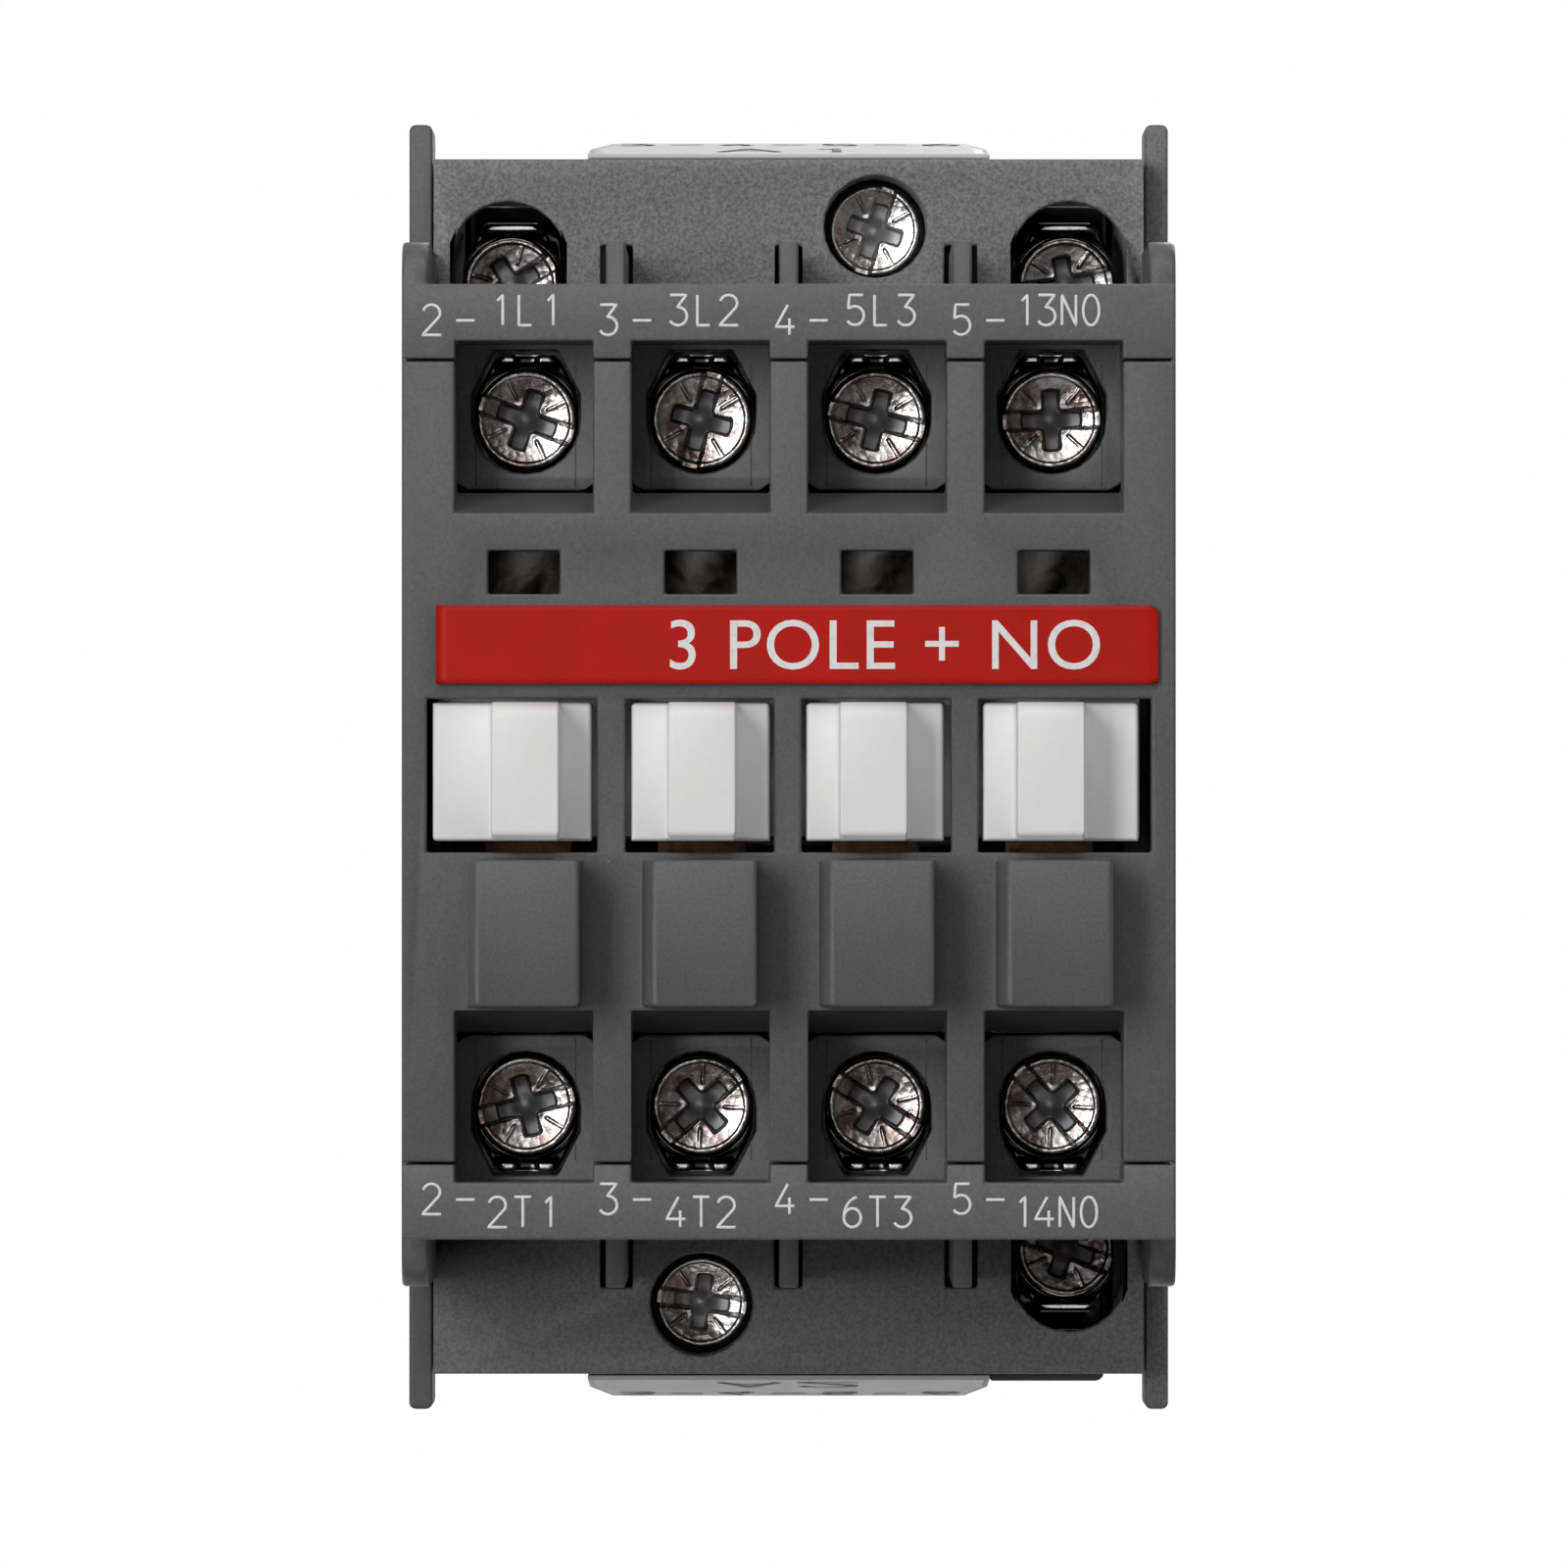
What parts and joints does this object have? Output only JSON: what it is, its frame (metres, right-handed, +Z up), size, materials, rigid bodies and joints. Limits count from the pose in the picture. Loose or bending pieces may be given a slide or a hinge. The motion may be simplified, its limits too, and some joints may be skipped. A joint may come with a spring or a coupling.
{
  "type": "din rail contactor",
  "caption": "Block contactor for a top-hat rail: screw terminals along both ends, a white moving-contact carrier behind its windows, and a coil in the base.",
  "frame": {"origin": "centre of the rail seat, on the plane where the rail's flanges bear", "axes": "+Z up towards the line terminals, +X right as seen from the front, -Y forward out of the panel"},
  "size_m": [0.044, 0.074, 0.0746],
  "materials": {
    "dark_plastic": "satin moulded",
    "base_plastic": "fine-textured moulded",
    "white_plastic": "satin moulded",
    "grey_plastic": "satin moulded",
    "red_label": "satin printed",
    "copper": "worn copper",
    "screw_steel": "yellowed zinc",
    "clamp_steel": "bright nickel",
    "spring_steel": "drawn wire",
    "core_steel": "laminated, ground pole faces",
    "coil_tape": "wound wire under tape",
    "rubber": "matt"
  },
  "bodies": {
    "housing": {"base_housing": "base_plastic", "contact_housing": "dark_plastic", "front_cover": "dark_plastic", "label_strip": "red_label", "coil_bobbin": "grey_plastic", "coil_winding": "coil_tape", "fixed_core": "core_steel", "shading_ring_left": "copper", "shading_ring_right": "copper", "damping_pad": "rubber", "return_spring_1": "spring_steel", "return_spring_2": "spring_steel", "housing_screw_1": "screw_steel", "housing_screw_2": "screw_steel", "din_clip_spring": "spring_steel", "line_contact_1": "copper", "line_contact_2": "copper", "line_contact_3": "copper", "line_contact_4": "copper", "load_contact_1": "copper", "load_contact_2": "copper", "load_contact_3": "copper", "load_contact_4": "copper", "coil_plate_1": "copper", "coil_plate_2": "copper", "coil_plate_3": "copper"},
    "carrier": {"contact_carrier": "white_plastic", "moving_core": "core_steel", "core_pin": "screw_steel", "contact_spring_1": "spring_steel", "contact_spring_2": "spring_steel", "contact_spring_3": "spring_steel", "contact_spring_4": "spring_steel"},
    "bridge_1": {"contact_bridge_1": "copper"},
    "bridge_2": {"contact_bridge_2": "copper"},
    "bridge_3": {"contact_bridge_3": "copper"},
    "bridge_4": {"contact_bridge_4": "copper"},
    "line_clamp_1": {"line_clamp_1": "clamp_steel"},
    "line_screw_1": {"line_screw_1": "screw_steel"},
    "line_clamp_2": {"line_clamp_2": "clamp_steel"},
    "line_screw_2": {"line_screw_2": "screw_steel"},
    "line_clamp_3": {"line_clamp_3": "clamp_steel"},
    "line_screw_3": {"line_screw_3": "screw_steel"},
    "line_clamp_4": {"line_clamp_4": "clamp_steel"},
    "line_screw_4": {"line_screw_4": "screw_steel"},
    "load_clamp_1": {"load_clamp_1": "clamp_steel"},
    "load_screw_1": {"load_screw_1": "screw_steel"},
    "load_clamp_2": {"load_clamp_2": "clamp_steel"},
    "load_screw_2": {"load_screw_2": "screw_steel"},
    "load_clamp_3": {"load_clamp_3": "clamp_steel"},
    "load_screw_3": {"load_screw_3": "screw_steel"},
    "load_clamp_4": {"load_clamp_4": "clamp_steel"},
    "load_screw_4": {"load_screw_4": "screw_steel"},
    "coil_clamp_1": {"coil_clamp_1": "clamp_steel"},
    "coil_screw_1": {"coil_screw_1": "screw_steel"},
    "coil_clamp_2": {"coil_clamp_2": "clamp_steel"},
    "coil_screw_2": {"coil_screw_2": "screw_steel"},
    "coil_clamp_3": {"coil_clamp_3": "clamp_steel"},
    "coil_screw_3": {"coil_screw_3": "screw_steel"},
    "din_clip": {"din_clip": "white_plastic"}
  },
  "joints": [
    {"name": "carrier_slide", "type": "slide", "parent": "housing", "child": "carrier", "axis": [0, 1, 0], "range_m": [0, 0.0055], "stiffness_N_per_m": 400, "springref_m": -0.012, "deforming": ["return_spring_1", "return_spring_2"]},
    {"name": "bridge_slide_1", "type": "slide", "parent": "carrier", "child": "bridge_1", "axis": [0, -1, 0], "range_m": [0, 0.0015], "deforming": ["contact_spring_1"]},
    {"name": "bridge_slide_2", "type": "slide", "parent": "carrier", "child": "bridge_2", "axis": [0, -1, 0], "range_m": [0, 0.0015], "deforming": ["contact_spring_2"]},
    {"name": "bridge_slide_3", "type": "slide", "parent": "carrier", "child": "bridge_3", "axis": [0, -1, 0], "range_m": [0, 0.0015], "deforming": ["contact_spring_3"]},
    {"name": "bridge_slide_4", "type": "slide", "parent": "carrier", "child": "bridge_4", "axis": [0, -1, 0], "range_m": [0, 0.0015], "deforming": ["contact_spring_4"]},
    {"name": "line_clamp_slide_1", "type": "slide", "parent": "housing", "child": "line_clamp_1", "axis": [0, 1, 0], "range_m": [0, 0.0036]},
    {"name": "line_screw_turn_1", "type": "hinge", "parent": "line_clamp_1", "child": "line_screw_1", "pos_m": [-0.0147, -0.058, 0.0192], "axis": [0, 1, 0], "range_deg": [0, 2160]},
    {"name": "line_clamp_slide_2", "type": "slide", "parent": "housing", "child": "line_clamp_2", "axis": [0, 1, 0], "range_m": [0, 0.0036]},
    {"name": "line_screw_turn_2", "type": "hinge", "parent": "line_clamp_2", "child": "line_screw_2", "pos_m": [-0.0049, -0.058, 0.0192], "axis": [0, 1, 0], "range_deg": [0, 2160]},
    {"name": "line_clamp_slide_3", "type": "slide", "parent": "housing", "child": "line_clamp_3", "axis": [0, 1, 0], "range_m": [0, 0.0036]},
    {"name": "line_screw_turn_3", "type": "hinge", "parent": "line_clamp_3", "child": "line_screw_3", "pos_m": [0.0049, -0.058, 0.0192], "axis": [0, 1, 0], "range_deg": [0, 2160]},
    {"name": "line_clamp_slide_4", "type": "slide", "parent": "housing", "child": "line_clamp_4", "axis": [0, 1, 0], "range_m": [0, 0.0036]},
    {"name": "line_screw_turn_4", "type": "hinge", "parent": "line_clamp_4", "child": "line_screw_4", "pos_m": [0.0147, -0.058, 0.0192], "axis": [0, 1, 0], "range_deg": [0, 2160]},
    {"name": "load_clamp_slide_1", "type": "slide", "parent": "housing", "child": "load_clamp_1", "axis": [0, 1, 0], "range_m": [0, 0.0036]},
    {"name": "load_screw_turn_1", "type": "hinge", "parent": "load_clamp_1", "child": "load_screw_1", "pos_m": [-0.0147, -0.058, -0.0192], "axis": [0, 1, 0], "range_deg": [0, 2160]},
    {"name": "load_clamp_slide_2", "type": "slide", "parent": "housing", "child": "load_clamp_2", "axis": [0, 1, 0], "range_m": [0, 0.0036]},
    {"name": "load_screw_turn_2", "type": "hinge", "parent": "load_clamp_2", "child": "load_screw_2", "pos_m": [-0.0049, -0.058, -0.0192], "axis": [0, 1, 0], "range_deg": [0, 2160]},
    {"name": "load_clamp_slide_3", "type": "slide", "parent": "housing", "child": "load_clamp_3", "axis": [0, 1, 0], "range_m": [0, 0.0036]},
    {"name": "load_screw_turn_3", "type": "hinge", "parent": "load_clamp_3", "child": "load_screw_3", "pos_m": [0.0049, -0.058, -0.0192], "axis": [0, 1, 0], "range_deg": [0, 2160]},
    {"name": "load_clamp_slide_4", "type": "slide", "parent": "housing", "child": "load_clamp_4", "axis": [0, 1, 0], "range_m": [0, 0.0036]},
    {"name": "load_screw_turn_4", "type": "hinge", "parent": "load_clamp_4", "child": "load_screw_4", "pos_m": [0.0147, -0.058, -0.0192], "axis": [0, 1, 0], "range_deg": [0, 2160]},
    {"name": "coil_clamp_slide_1", "type": "slide", "parent": "housing", "child": "coil_clamp_1", "axis": [0, 1, 0], "range_m": [0, 0.0036]},
    {"name": "coil_screw_turn_1", "type": "hinge", "parent": "coil_clamp_1", "child": "coil_screw_1", "pos_m": [-0.0161, -0.0272, 0.028], "axis": [0, 1, 0], "range_deg": [0, 2160]},
    {"name": "coil_clamp_slide_2", "type": "slide", "parent": "housing", "child": "coil_clamp_2", "axis": [0, 1, 0], "range_m": [0, 0.0036]},
    {"name": "coil_screw_turn_2", "type": "hinge", "parent": "coil_clamp_2", "child": "coil_screw_2", "pos_m": [0.0161, -0.0272, 0.028], "axis": [0, 1, 0], "range_deg": [0, 2160]},
    {"name": "coil_clamp_slide_3", "type": "slide", "parent": "housing", "child": "coil_clamp_3", "axis": [0, 1, 0], "range_m": [0, 0.0036]},
    {"name": "coil_screw_turn_3", "type": "hinge", "parent": "coil_clamp_3", "child": "coil_screw_3", "pos_m": [0.0161, -0.0272, -0.028], "axis": [0, 1, 0], "range_deg": [0, 2160]},
    {"name": "din_clip_slide", "type": "slide", "parent": "housing", "child": "din_clip", "axis": [0, 0, -1], "range_m": [0, 0.004], "stiffness_N_per_m": 500, "springref_m": -0.006, "deforming": ["din_clip_spring"]}
  ],
  "couplings": [
    {"joint": "bridge_slide_1", "follows": "carrier_slide", "ratio": 0.2727},
    {"joint": "bridge_slide_2", "follows": "carrier_slide", "ratio": 0.2727},
    {"joint": "bridge_slide_3", "follows": "carrier_slide", "ratio": 0.2727},
    {"joint": "bridge_slide_4", "follows": "carrier_slide", "ratio": 0.2727},
    {"joint": "line_clamp_slide_1", "follows": "line_screw_turn_1", "m_per_rad": 0.00009549},
    {"joint": "line_clamp_slide_2", "follows": "line_screw_turn_2", "m_per_rad": 0.00009549},
    {"joint": "line_clamp_slide_3", "follows": "line_screw_turn_3", "m_per_rad": 0.00009549},
    {"joint": "line_clamp_slide_4", "follows": "line_screw_turn_4", "m_per_rad": 0.00009549},
    {"joint": "load_clamp_slide_1", "follows": "load_screw_turn_1", "m_per_rad": 0.00009549},
    {"joint": "load_clamp_slide_2", "follows": "load_screw_turn_2", "m_per_rad": 0.00009549},
    {"joint": "load_clamp_slide_3", "follows": "load_screw_turn_3", "m_per_rad": 0.00009549},
    {"joint": "load_clamp_slide_4", "follows": "load_screw_turn_4", "m_per_rad": 0.00009549},
    {"joint": "coil_clamp_slide_1", "follows": "coil_screw_turn_1", "m_per_rad": 0.00009549},
    {"joint": "coil_clamp_slide_2", "follows": "coil_screw_turn_2", "m_per_rad": 0.00009549},
    {"joint": "coil_clamp_slide_3", "follows": "coil_screw_turn_3", "m_per_rad": 0.00009549}
  ]
}
